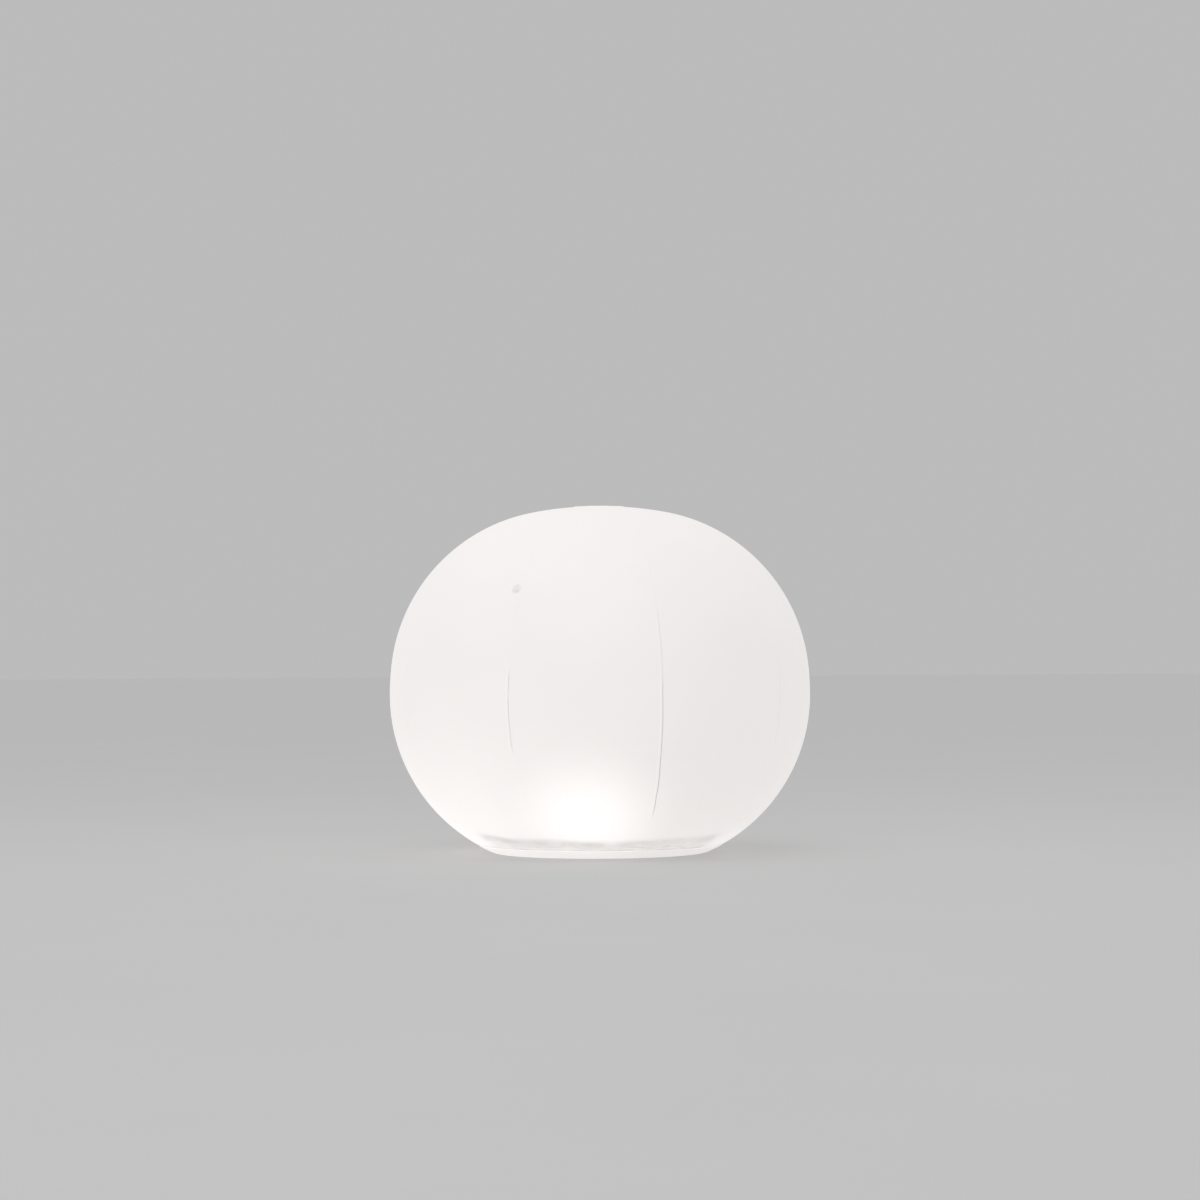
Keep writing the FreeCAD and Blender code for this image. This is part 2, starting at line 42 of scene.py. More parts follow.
# Envelope: centre (distance from the axis, height), radius, first and last angle of each arc, bottom up
LOWER_ARC = ((0.1101777, 0.451973), 0.4898223, -64.9987, 0.0)
EQUATOR_ARC = ((-0.1379163, 0.451973), 0.7379163, 0.0, 7.1)
SHOULDER_ARC = ((0.1001689, 0.4816281), 0.4979929, 7.1, 79.3)
CROWN_ARC = ((0.0, -0.0485007), 1.0375007, 79.3, 86.9613)
FILM = 0.0005
ROW_LENGTH = 0.009
WELD_PITCH = 0.0015
GORES = 9
GORE_ANGLE = 2 * math.pi / GORES
FRONT_SEAM = math.radians(16.5)

# Columns across half a gore, as shares of its width: close together beside the seam
COLUMN_SHARES = (0.0, 0.002, 0.005, 0.010, 0.018, 0.030, 0.05, 0.08, 0.12, 0.18, 0.25, 0.33, 0.41, 0.5)

# Crown disc, welded over the gores' tips
CROWN_RADIUS = 0.075
CROWN_SPHERE = 1.0380507
CROWN_RINGS = 10
CROWN_COLUMNS = 108
CROWN_LIFT = 0.0003
CROWN_MIDDLE = 0.0005
CROWN_WELD = 0.020

# Base sheet: flat, then rolled up round the corner and lapped over the gores' feet
BASE_SHEET = 0.001
BASE_COLUMNS = 360
BASE_RINGS = 14
BASE_WAVE = 0.0002
CORNER_STEPS = 8
LAP_STEPS = 6
CORNER_RADIUS = 0.060
CORNER_CENTRE = (0.2890858, CORNER_RADIUS)
CORNER_END = -65.4666
WALL_CENTRE = LOWER_ARC[0]
WALL_RADIUS = 0.4908723
LAP_END = -61.1560
LAP_HEIGHT = 0.022
PORT_X = -0.046
PORT_RADIUS = 0.092
PORT_WELD = 0.036
PORT_SHADOW = (0.10, 0.31)
PORT_SHADOW_SHARE = 0.25

# Seams: each shows as a crease with painted shade over its own stretch of height, whose ends differ round the
# globe
SEAM_LOW = 0.124
SEAM_LOW_SPREAD = 0.112
SEAM_HIGH = 0.692
SEAM_HIGH_SPREAD = 0.103
SEAM_TURN = 2.2               # from seam to seam, of the wave that sets how far the ends differ
SEAM_LEAST_SHARE = 0.15
SEAM_LEAD = 0.02              # how far the valley reaches past a seam's low and high heights
SEAM_LOW_BLEND = 0.06
SEAM_HIGH_BLEND = 0.14
SEAM_VALLEY = 0.0006
SEAM_VALLEY_WIDTH = 0.004

# Where a crease's line runs beside the joint: shifted, drifting towards the foot and wandering a little
SEAM_ASIDE = 0.0015
SEAM_SHIFT = 0.004
SEAM_DRIFT = 0.0075
DRIFT_TOP = 0.35
DRIFT_FOOT = 0.12
SEAM_WANDER = 0.0012

# How dark each crease's painted shade is: its ends, its fainter upper part, its stronger foot, and the
# globe's sides and back.
# Lines are given as middle and reach, and pairs of heights, angles or noise values as the ends of a change.
CREASE_START = (-0.015, 0.030)
CREASE_START_SHARE = 0.02
CREASE_END = (-0.01, 0.03)
CREASE_END_SHARE = 0.03
SEAM_FAINT = 0.20             # length of a crease's fainter upper part
FAINT_BLEND = 0.02
FAINT_SHARE = 0.40
FAINT_SPREAD_SHARE = 0.35
SPREAD_LOSS_SHARE = 0.04
PATCHY_NOISE = (0.3, 0.5)
PATCHY_SHARE = 0.55
SIDE_ANGLES = (0.75, 0.95)
SIDE_SHARE = 0.3
BACK_ANGLES = (1.2, 1.4)
BACK_SHARE = 0.9
CROWN_MARK_HEIGHTS = (0.962, 0.988)
CROWN_MARK_SHARE = 0.5
FOOT_HEIGHTS = (0.22, 0.32)
FOOT_STRENGTH = 1.3
DARK_LINE = (0.0003, 0.0022)
DARK_LIGHT = -0.27
# The painted paler line, a highlight beside each crease
PALE_LINE = (-0.0060, 0.0036)
PALE_LIGHT = 0.045
WELD_REACH = 0.005
WELD_ROW_SCALE = 320.0

# Gathers across the seams, least at the calm height and deeper towards the foot and the crown
GATHER_DEPTH = 0.0005
GATHER_WIDTH = 0.035
GATHER_SLANT = 0.3
GATHER_LENGTHS = (0.037, 0.053, 0.081, 0.129)
GATHER_TURN = 1.7
CALM_HEIGHT = 0.45
CALM_SHARE = 0.2

# Small puckers round the foot
PUCKERS = 31
PUCKER_SWAY = 2.0
PUCKER_SWAYS = 4
FINE_PUCKERS = 53
FINE_PUCKER_SHARE = 0.7
PUCKER_DEPTH = 0.0004
PUCKER_HEIGHT = 0.030
PUCKER_WIDTH = 0.028
PUCKER_RISE = 0.012

# The soft fold just above the base, one length in front and one behind, and the painted shade in it
FOLD_HEIGHT = 0.044
FOLD_RISE = 0.0165
FOLD_LIGHT = 0.490
FOLD_WIDTH = 0.012
FOLD_DEPTH = 0.0026
FOLD_LENGTHS = 2
FOLD_FADE = (-0.52, -0.20)
FOLD_WAVE = 0.0025
FOLD_EDGE = 0.001
FOLD_SOFT_TOP = 0.018
FOLD_FOOT = 0.026
FOLD_FOOT_SHARE = 0.45
FOLD_NOISE = (0.32, 0.60)
FOLD_NOISE_SHARE = 0.62
# Where the painted shade darkens at the fold's left end, and where it is pinched lighter in front
FOLD_END = Vector((-0.321, -0.230, 0.053))
FOLD_END_REACH = 0.022
FOLD_END_SHARE = 0.3
FOLD_PINCH = Vector((0.029, -0.384, 0.047))
PINCH_REACH = 0.040
PINCH_SHARE = 0.55
LAP_BLEND = (0.001, 0.006)
LAP_SHARE = 0.25

# Painted shade of two thin creases under the fold, the upper one broken, that sway with the fold's wave, and
# a painted highlight on the rim between the fold's lengths
BROKEN_LINE = (0.0345, 0.0028)
BROKEN_SWAY = 2.0
BROKEN_NOISE = (0.45, 0.60)
BROKEN_SHARE = 0.5
LAP_LINE = (LAP_HEIGHT + 0.0042, 0.0024)
LAP_SWAY = 0.5
LAP_LINE_NOISE = (0.35, 0.6)
LAP_LINE_SHARES = (0.25, 0.95)
LINE_LIGHT = -0.22
RIM_HEIGHTS = (0.10, 0.05)
RIM_LIGHT = 0.03

# Inflation valve
VALVE_CENTRE = Vector((-0.224031, -0.471808, 0.745014))
VALVE_NORMAL = Vector((-0.421991, -0.726025, 0.542965))
VALVE_SIDE = Vector((0.864567, -0.502517, 0.0))
VALVE_FLANGE = 0.014
VALVE_FACE = 0.00105
VALVE_WELD = 0.004
FLAT_RADIUS = 0.017
FLAT_BLEND = 0.055
VALVE_REACH = 0.05
PLUG_TOP = 0.00445

# Small details: ribs as length, width and height, beads as radius, width and height. The flange's three
# beads have one width and height.
VALVE_BEAD_RADII = (0.0108, 0.0121, 0.0134)
VALVE_BEAD = (0.0007, 0.0002)
PLUG_BEAD = (0.0066, 0.0012, 0.0004)
PLUG_RIB_PLACES = (0.0096, 0.0109, 0.0122)
PLUG_RIB = (0.0048, 0.0007, 0.0004)

# Tether tab, its own sizes and its direction from the axis
TAB_ANGLE = math.radians(183.17)
TAB_WIDTH = 0.050
TAB_THICKNESS = 0.002
TAB_ROOT = 0.020
TAB_EYELET = 0.037
EYELET_RADIUS = 0.010
TAB_COLUMNS = 144
TAB_RINGS = 16
TAB_CURL = 0.0006
TAB_CURL_START = 0.012
TAB_FREE_START = 0.01
TAB_CURL_TURNS = (60, 150)

# Under the lamp module, and the LED board's corners
GRIPS = 6
GRIP_MIDDLE = 0.0772
GRIP_FACE = 0.002
BUTTON_PLACE = 0.030
BUTTON_FACE = 0.0089
COVER_FACE = 0.0092
FLOOR_FACE = 0.0115
PILLAR_PLACE = 0.044
LED_BOARD_TOP = 0.0966
GRIP_STEP = 0.003
GRIP_RIB = (0.008, 0.0013, 0.0005)
BUTTON_BEAD = (0.0060, 0.0011, 0.0005)
COVER_RIB_PLACES = (0.0212, 0.0232, 0.0252)
COVER_RIB = (0.012, 0.0010, 0.0005)
BUTTON_RIM = (0.0118, 0.0014, 0.0006)
FLOOR_RIM = (0.0640, 0.0016, 0.0006)
SCREW_RADIUS = 0.0029
SCREW_HEIGHT = 0.0017
CROSS_HALF_WIDTH = 0.00045
CROSS_DEPTH = 0.0009
CROSS_REACH_SHARE = 0.62
CROSS_EDGES = (0.0002, 0.0003)

# Light through the film, added to its level: from the lamp, a hot spot, a dim spot, and slow changes
# across and up the globe
LAMP = Vector((PORT_X, 0, 0.11))
LAMP_GLOW = 0.022
LAMP_GLOW_MOST = 0.12
HOT_SPOT = Vector((-0.030, -0.479, 0.130))
HOT_REACH = 0.25
HOT_GLOW = 0.17
DIM_SPOT = Vector((0.300, -0.450, 0.390))
DIM_REACH = 0.42
DIM_GLOW = -0.026
SIDE_PLACES = (-0.45, 0.55)
SIDE_GLOW = 0.025
LOW_PLACES = (-0.5, 0.3)
LOW_HEIGHTS = (0.45, 0.08)
LOW_GLOWS = (0.07, -0.01)
HEIGHT_GLOW = 0.015
CLOUD_GLOW = 0.008
FILM_COLOR = (0.40, 0.396, 0.391)
GLOW_COLOR = (1.0, 0.961, 0.946)
FILM_LEVEL = 0.520
CROWN_LEVEL = 0.530
BASE_LEVEL = 0.470

# The stretch in which most of a noise's values lie
NOISE_LOW = 0.3
NOISE_HIGH = 0.7

# How far roughness strays from a finish's own, in moulded pieces and along metal's lines, and the noise
# values between which those lines go from dark to pale, with the dark ones' share of the colour
GLOSS_SPREAD = 0.06
METAL_GLOSS = (-0.08, 0.10)
METAL_LINES = (0.35, 0.65)
METAL_DARK_SHARE = 0.9

# Studio: an even world, a floor just under the object and two soft lamps
WORLD_LIGHT = 0.80
BACKDROP = 0.50
FLOOR_LEVEL = -0.0003
FLOOR_REACH = 60
SOFT_LAMP_SIZE = 4.0
SOFT_LAMP_TARGET = Vector((0, 0, 0.5))


# Nodes of a material
class Shade:
    """Builds one Principled material from procedural nodes in object space."""

    def __init__(self, name, color, roughness, **sockets):
        self.material = bpy.data.materials.new(name)
        self.material.use_nodes = True
        self.tree = self.material.node_tree
        self.bsdf = self.tree.nodes["Principled BSDF"]
        self.bsdf.inputs["Base Color"].default_value = (*color, 1)
        self.bsdf.inputs["Roughness"].default_value = roughness
        for key, value in sockets.items():
            self.bsdf.inputs[key.replace("_", " ")].default_value = value
        self.where = self.node("ShaderNodeTexCoord").outputs["Object"]
        self.normal = None

    def node(self, kind, **settings):
        made = self.tree.nodes.new(kind)
        for key, value in settings.items():
            setattr(made, key, value)
        return made

    def link(self, source, target):
        """Joins an output to a socket, or gives the socket a plain value."""
        if isinstance(source, bpy.types.NodeSocket):
            self.tree.links.new(source, target)
        else:
            target.default_value = source

    def math(self, operation, *values):
        made = self.node("ShaderNodeMath", operation=operation)
        for value, socket in zip(values, made.inputs):
            self.link(value, socket)
        return made.outputs[0]

    def add(self, *values):
        total = values[0]
        for value in values[1:]:
            total = self.math("ADD", total, value)
        return total

    def times(self, *values):
        total = values[0]
        for value in values[1:]:
            total = self.math("MULTIPLY", total, value)
        return total

    def noise(self, scale, detail=2.0, roughness=0.5, stretch=(1, 1, 1)):
        mapping = self.node("ShaderNodeMapping")
        self.link(self.where, mapping.inputs["Vector"])
        mapping.inputs["Scale"].default_value = stretch
        made = self.node("ShaderNodeTexNoise")
        self.link(mapping.outputs[0], made.inputs["Vector"])
        made.inputs["Scale"].default_value = scale
        made.inputs["Detail"].default_value = detail
        made.inputs["Roughness"].default_value = roughness
        return made.outputs["Fac"]

    def uneven(self, scale, start, end, detail=2.0, roughness=0.5):
        """Noise that goes from start to end over most of its values."""
        return self.ramp(self.noise(scale, detail, roughness), NOISE_LOW, NOISE_HIGH, start, end)

    def ramp(self, value, low, high, start=0.0, end=1.0):
        """A smooth change from start to end as value goes from low to high."""
        made = self.node("ShaderNodeMapRange", interpolation_type="SMOOTHSTEP")
        for socket, given in zip(made.inputs, (value, low, high, start, end)):
            self.link(given, socket)
        return made.outputs["Result"]

    def band(self, value, middle, reach):
        """1 where value is at the middle, falling smoothly to 0 on both sides."""
        away = self.math("ABSOLUTE", self.math("SUBTRACT", value, middle))
        return self.ramp(away, 0.0, reach, 1.0, 0.0)

    def distance(self, point):
        apart = self.node("ShaderNodeVectorMath", operation="DISTANCE")
        self.link(self.where, apart.inputs[0])
        apart.inputs[1].default_value = point
        return apart.outputs["Value"]

    def near(self, point, reach, amount=1.0):
        """The amount at a point of the object, falling smoothly to 0 at a distance."""
        return self.ramp(self.distance(point), 0.0, reach, amount, 0.0)

    def mix(self, share, first, second):
        made = self.node("ShaderNodeMixRGB")
        for socket, given in zip(made.inputs, (share, (*first, 1), (*second, 1))):
            self.link(given, socket)
        return made.outputs[0]

    def bump(self, height, distance, strength=1.0):
        """Adds one more layer of bumps over those made before it."""
        made = self.node("ShaderNodeBump")
        made.inputs["Distance"].default_value = distance
        made.inputs["Strength"].default_value = strength
        self.link(height, made.inputs["Height"])
        if self.normal is not None:
            self.link(self.normal, made.inputs["Normal"])
        self.normal = made.outputs["Normal"]
        self.link(self.normal, self.bsdf.inputs["Normal"])

    def set(self, socket, value):
        self.link(value, self.bsdf.inputs[socket])


# Finishes
def from_axis(shade):
    """Sideways place, height, distance from the globe's axis and angle from the front, as sockets."""
    split = shade.node("ShaderNodeSeparateXYZ")
    shade.link(shade.where, split.inputs[0])
    x, y, z = split.outputs
    radius = shade.math("SQRT", shade.add(shade.times(x, x), shade.times(y, y)))
    angle = shade.math("ARCTAN2", x, shade.times(y, -1.0))
    return x, z, radius, angle


def glow(shade, level, x, z):
    """Light through the film: the hot spot in front, brighter low on the left and dimmer on the right."""
    from_lamp = shade.math("DIVIDE", LAMP_GLOW, shade.math("POWER", shade.distance(LAMP), 2.0))
    lamp = shade.math("MINIMUM", from_lamp, LAMP_GLOW_MOST)
    hot = shade.near(HOT_SPOT, HOT_REACH, HOT_GLOW)
    dim = shade.near(DIM_SPOT, DIM_REACH, DIM_GLOW)
    left = shade.ramp(x, *SIDE_PLACES, SIDE_GLOW, -SIDE_GLOW)
    low_left = shade.times(shade.ramp(x, *LOW_PLACES, *LOW_GLOWS), shade.ramp(z, *LOW_HEIGHTS))
    high = shade.ramp(z, 0.0, 1.0, HEIGHT_GLOW, -HEIGHT_GLOW)
    cloud = shade.uneven(scale=2.2, start=-CLOUD_GLOW, end=CLOUD_GLOW, detail=3.0)
    return shade.add(lamp, level, hot, dim, left, low_left, high, cloud)


def seam_marks(shade, z, radius, angle):
    """Painted shade of the thin crease along each seam, a painted paler line on its left, and the weld's fine
    rows as bumps.
    """
    turns = shade.math("DIVIDE", shade.math("SUBTRACT", angle, FRONT_SEAM), GORE_ANGLE)
    index = shade.math("ROUND", turns)
    beside = shade.times(shade.math("SUBTRACT", turns, index), radius, GORE_ANGLE)
    spread = shade.math("SUBTRACT", 1.0, shade.math("COSINE", shade.times(index, SEAM_TURN)))
    wander = shade.uneven(scale=7.0, start=-SEAM_WANDER, end=SEAM_WANDER, detail=3.0)
    drift = shade.ramp(z, DRIFT_TOP, DRIFT_FOOT, 0.0, -SEAM_DRIFT)
    line = shade.add(beside, wander, drift, SEAM_ASIDE, shade.times(spread, SEAM_SHIFT))

    # Each seam's painted shade shows over its own stretch of height, more faintly in its upper part
    low = shade.add(SEAM_LOW, shade.times(spread, SEAM_LOW_SPREAD))
    high = shade.math("SUBTRACT", SEAM_HIGH, shade.times(spread, SEAM_HIGH_SPREAD))
    rise = shade.ramp(shade.math("SUBTRACT", z, low), *CREASE_START, CREASE_START_SHARE)
    under = shade.math("SUBTRACT", high, z)
    faint = shade.add(FAINT_SHARE, shade.times(spread, FAINT_SPREAD_SHARE))
    upper = shade.ramp(under, SEAM_FAINT - FAINT_BLEND, SEAM_FAINT + FAINT_BLEND, faint)
    fall = shade.times(shade.ramp(under, *CREASE_END, CREASE_END_SHARE), upper)
    patches = shade.noise(scale=11.0, detail=3.0, roughness=0.6)
    patchy = shade.ramp(patches, *PATCHY_NOISE, PATCHY_SHARE)

    # The painted shade is fainter at the globe's sides and clear again at its back, and gathered round the
    # crown
    turned = shade.math("ABSOLUTE", angle)
    side = shade.ramp(turned, *SIDE_ANGLES, 1.0, SIDE_SHARE)
    side = shade.math("MAXIMUM", side, shade.ramp(turned, *BACK_ANGLES, 0.0, BACK_SHARE))
    even = shade.math("SUBTRACT", 1.0, shade.times(spread, SPREAD_LOSS_SHARE))
    shown = shade.times(rise, fall, patchy, side, even)
    shown = shade.math("MAXIMUM", shown, shade.ramp(z, *CROWN_MARK_HEIGHTS, 0.0, CROWN_MARK_SHARE))

    # Painted shade along each crease, stronger towards the foot, and a painted paler line beside it
    stronger = shade.ramp(z, *FOOT_HEIGHTS, FOOT_STRENGTH, 1.0)
    dark = shade.times(shade.band(line, *DARK_LINE), shown, stronger, DARK_LIGHT)
    pale = shade.times(shade.band(line, *PALE_LINE), shown, PALE_LIGHT)
    rows = shade.node("ShaderNodeTexWave", wave_type="BANDS", bands_direction="Z")
    shade.link(shade.where, rows.inputs["Vector"])
    rows.inputs["Scale"].default_value = WELD_ROW_SCALE
    weld = shade.times(shade.band(beside, 0.0, WELD_REACH), rows.outputs["Fac"])
    shade.bump(weld, distance=0.0002, strength=0.4)
    return shade.add(dark, pale)


def fold_marks(shade, light, z, angle):
    """Painted shade: dims the light in the fold above the base and along the thin wavy line where film meets
    base, and paints a highlight on the rim.
    """
    around_fold = shade.math("COSINE", shade.times(angle, FOLD_LENGTHS))
    wave = shade.uneven(scale=9.0, start=-FOLD_WAVE, end=FOLD_WAVE)
    rise = shade.times(shade.math("SUBTRACT", 1.0, around_fold), -FOLD_RISE / 2)
    level = shade.add(z, wave, rise)
    lengths = shade.ramp(around_fold, *FOLD_FADE)
    between = shade.math("SUBTRACT", 1.0, lengths)
    patches = shade.noise(scale=13.0, detail=3.0, roughness=0.6)
    patchy = shade.ramp(patches, *FOLD_NOISE, FOLD_NOISE_SHARE)
    pinch = shade.math("SUBTRACT", 1.0, shade.near(FOLD_PINCH, PINCH_REACH, PINCH_SHARE))
    top = shade.ramp(level, FOLD_HEIGHT + FOLD_SOFT_TOP, FOLD_HEIGHT + FOLD_EDGE)
    below = shade.ramp(level, FOLD_FOOT, FOLD_HEIGHT - FOLD_EDGE, FOLD_FOOT_SHARE)
    foot = shade.ramp(z, LAP_HEIGHT + LAP_BLEND[0], LAP_HEIGHT + LAP_BLEND[1], LAP_SHARE)
    fold = shade.times(top, below, foot, lengths, patchy, pinch)
    # A painted patch of shade at the fold's left end
    blob = shade.near(FOLD_END, FOLD_END_REACH, FOLD_END_SHARE)

    # Painted shade of thin creases: one wavy and broken, and the edge of the weld to the base
    breaks = shade.noise(scale=17.0, detail=3.0, roughness=0.6)
    broken = shade.ramp(breaks, *BROKEN_NOISE, 0.0, BROKEN_SHARE)
    second = shade.band(shade.add(z, shade.times(wave, BROKEN_SWAY)), *BROKEN_LINE)
    second = shade.times(second, lengths, broken)
    # Patches where the painted shade along the weld's edge is stronger or fainter
    patchy_lap_shade = shade.ramp(shade.noise(scale=12.0), *LAP_LINE_NOISE, *LAP_LINE_SHARES)
    weld = shade.times(shade.band(shade.add(z, shade.times(wave, LAP_SWAY)), *LAP_LINE), patchy_lap_shade)
    # A painted highlight low on the rim between the fold's lengths
    rim = shade.times(shade.ramp(z, *RIM_HEIGHTS), between, RIM_LIGHT)
    soft = shade.math("MINIMUM", shade.add(fold, blob), 1.0)
    kept = shade.times(light, shade.math("SUBTRACT", 1.0, soft))
    dimmed = shade.add(kept, shade.times(soft, FOLD_LIGHT))
    return shade.add(dimmed, shade.times(shade.math("MAXIMUM", second, weld), LINE_LIGHT), rim)


def weld_rows(shade, distance, inner, outer):
    """Fine concentric rows that a round welding tool leaves between two radii."""
    middle, half = (inner + outer) / 2, (outer - inner) / 2
    rows = shade.math("SINE", shade.times(distance, 2 * math.pi / WELD_PITCH))
    shade.bump(shade.times(shade.band(distance, middle, half), rows), distance=0.0002, strength=0.5)


def film_finish(name, level, parts=()):
    """White film lit from inside, with its grain, faint stretch marks and uneven gloss."""
    shade = Shade(name, FILM_COLOR, roughness=0.5, Specular_IOR_Level=0.35, Coat_Weight=0.06,
                  Coat_Roughness=0.3)
    x, z, radius, angle = from_axis(shade)
    light = glow(shade, level, x, z)
    if "port" in parts:
        light = shade.times(light, shade.ramp(radius, *PORT_SHADOW, PORT_SHADOW_SHARE))
    if "seams" in parts:
        light = shade.add(light, seam_marks(shade, z, radius, angle))
    if "fold" in parts:
        light = fold_marks(shade, light, z, angle)
    if "valve" in parts:
        weld_rows(shade, shade.distance(VALVE_CENTRE), VALVE_FLANGE, VALVE_FLANGE + VALVE_WELD)
    if "crown" in parts:
        weld_rows(shade, radius, CROWN_RADIUS - CROWN_WELD, CROWN_RADIUS)
    if "port" in parts:
        weld_rows(shade, shade.distance((PORT_X, 0, 0)), PORT_RADIUS, PORT_RADIUS + PORT_WELD)
    shade.bump(shade.noise(scale=900.0), distance=0.00004, strength=0.5)
    stretched = shade.noise(scale=14.0, detail=3.0, roughness=0.55, stretch=(1, 1, 0.35))
    shade.bump(stretched, distance=0.0010, strength=0.3)
    shade.set("Roughness", shade.uneven(scale=30.0, start=0.45, end=0.56, detail=3.0))
    shade.bsdf.inputs["Emission Color"].default_value = (*GLOW_COLOR, 1)
    shade.set("Emission Strength", shade.math("MAXIMUM", light, 0.0))
    return shade.material


def moulded(name, color, roughness=0.5, grain=700.0, depth=0.00006, spread=0.03, **sockets):
    """Moulded plastic or rubber: fine grain, faint cloudiness and slightly uneven gloss."""
    shade = Shade(name, color, roughness, **sockets)
    darker = [c * (1 - spread) for c in color]
    lighter = [min(1.0, c * (1 + spread)) for c in color]
    cloudy = shade.uneven(scale=75.0, start=0.0, end=1.0, detail=5.0, roughness=0.6)
    shade.set("Base Color", shade.mix(cloudy, darker, lighter))
    glossier, duller = roughness - GLOSS_SPREAD, roughness + GLOSS_SPREAD
    shade.set("Roughness", shade.uneven(scale=60.0, start=glossier, end=duller))
    shade.bump(shade.noise(grain, detail=3.0, roughness=0.6), depth, strength=0.6)
    return shade.material


def metal(name, color, roughness, stretch=(1, 1, 1)):
    """Metal with fine drawn or rolled lines."""
    shade = Shade(name, color, roughness, Metallic=1.0)
    lines = shade.noise(scale=300.0, detail=3.0, roughness=0.6, stretch=stretch)
    glossier, duller = roughness + METAL_GLOSS[0], roughness + METAL_GLOSS[1]
    shade.set("Roughness", shade.ramp(lines, NOISE_LOW, NOISE_HIGH, glossier, duller))
    darker = [c * METAL_DARK_SHARE for c in color]
    shade.set("Base Color", shade.mix(shade.ramp(lines, *METAL_LINES), darker, color))
    shade.bump(lines, distance=0.00003, strength=0.5)
    return shade.material


# Meshes
def piece(name, verts, faces, material, body):
    """A new smooth-shaded object, riding on its body."""
    mesh = bpy.data.meshes.new(name)
    mesh.from_pydata(verts, [], faces)
    mesh.materials.append(material)
    for polygon in mesh.polygons:
        polygon.use_smooth = True
    made = bpy.data.objects.new(name, mesh)
    bpy.context.scene.collection.objects.link(made)
    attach(made, body)
    return made


def thicken(made, thickness, offset=-1):
    """Gives a skin its thickness, inwards from its face normals, or to both sides with offset 0."""
    shell = made.modifiers.new("thickness", "SOLIDIFY")
    shell.thickness = thickness
    shell.offset = offset


def strip_faces(rows, columns, closed=False):
    """Quads between neighbouring rows of points; closed joins the last column to the first."""
    faces = []
    for row in range(rows - 1):
        for column in range(columns if closed else columns - 1):
            after = (column + 1) % columns
            low, high = row * columns, (row + 1) * columns
            faces.append((low + column, low + after, high + after, high + column))
    return faces


def around(angle, radius, height):
    """A point at an angle from the front, a distance from the globe's axis and a height."""
    return Vector((radius * math.sin(angle), -radius * math.cos(angle), height))


def arc_points(centre, radius, first, last, count):
    """Points along an arc with the outward direction at each, from first to before last."""
    points = []
    for index in range(count):
        angle = math.radians(first + (last - first) * index / count)
        out = (math.cos(angle), math.sin(angle))
        points.append((centre[0] + radius * out[0], centre[1] + radius * out[1], out))
    return points


def gore_rows():
    """The outline's points from the gores' feet to their tips."""
    rows = []
    for centre, radius, first, last in (LOWER_ARC, EQUATOR_ARC, SHOULDER_ARC, CROWN_ARC):
        count = max(2, round(math.radians(last - first) * radius / ROW_LENGTH))
        rows += arc_points(centre, radius, first, last, count)
    centre, radius, first, last = CROWN_ARC
    return rows + arc_points(centre, radius, last, last + 1, 1)


def smooth(share):
    """An even change from 0 to 1 with soft ends."""
    share = min(1.0, max(0.0, share))
    return share * share * (3 - 2 * share)


def seam_share(index, height):
    """How strongly a seam is creased at a height."""
    spread = 1 - math.cos(index * SEAM_TURN)
    low = SEAM_LOW + SEAM_LOW_SPREAD * spread
    high = SEAM_HIGH - SEAM_HIGH_SPREAD * spread
    rise = smooth((height - low + SEAM_LEAD) / SEAM_LOW_BLEND)
    fall = smooth((high - height + SEAM_LEAD) / SEAM_HIGH_BLEND)
    return SEAM_LEAST_SHARE + (1 - SEAM_LEAST_SHARE) * rise * fall


def ripple(along, seed):
    """A fixed, irregular wave along a seam, between -1 and 1."""
    waves = [math.sin(2 * math.pi * along / length + seed * (GATHER_TURN + place))
             for place, length in enumerate(GATHER_LENGTHS)]
    return sum(waves) / len(waves)


def hump(value, middle, width):
    """1 at the middle, falling to about a third one width away."""
    return math.exp(-((value - middle) / width) ** 2)


def pucker_phase(angle):
    """The angle of the puckers' wave, whose pitch sways round the globe."""
    return angle * PUCKERS + PUCKER_SWAY * math.sin(angle * PUCKER_SWAYS)


def seam_offset(angle, radius, height):
    """The valley along a seam and the gathers across it."""
    index = round((angle - FRONT_SEAM) / GORE_ANGLE)
    beside = (angle - FRONT_SEAM - index * GORE_ANGLE) * radius
    beside += SEAM_ASIDE + SEAM_SHIFT * (1 - math.cos(index * SEAM_TURN))
    beside -= SEAM_DRIFT * smooth((DRIFT_TOP - height) / (DRIFT_TOP - DRIFT_FOOT))
    valley = SEAM_VALLEY * seam_share(index, height) * hump(beside, 0, SEAM_VALLEY_WIDTH)
    curved = min(1.0, abs(height - CALM_HEIGHT) / CALM_HEIGHT) ** 2
    depth = GATHER_DEPTH * (CALM_SHARE + (1 - CALM_SHARE) * curved)
    return depth * ripple(height + GATHER_SLANT * beside, index) * hump(beside, 0, GATHER_WIDTH) - valley


def foot_offset(angle, height):
    """The fold above the base and the small puckers under it."""
    around_fold = math.cos(angle * FOLD_LENGTHS)
    shown = smooth((around_fold - FOLD_FADE[0]) / (FOLD_FADE[1] - FOLD_FADE[0]))
    level = FOLD_HEIGHT + FOLD_RISE * (1 - around_fold) / 2
    fold = FOLD_DEPTH * shown * hump(height, level, FOLD_WIDTH)
    pucker = math.sin(pucker_phase(angle)) + FINE_PUCKER_SHARE * math.sin(angle * FINE_PUCKERS + 1)
    rise = smooth((height - LAP_HEIGHT) / PUCKER_RISE)
    return PUCKER_DEPTH * rise * pucker * hump(height, PUCKER_HEIGHT, PUCKER_WIDTH) - fold


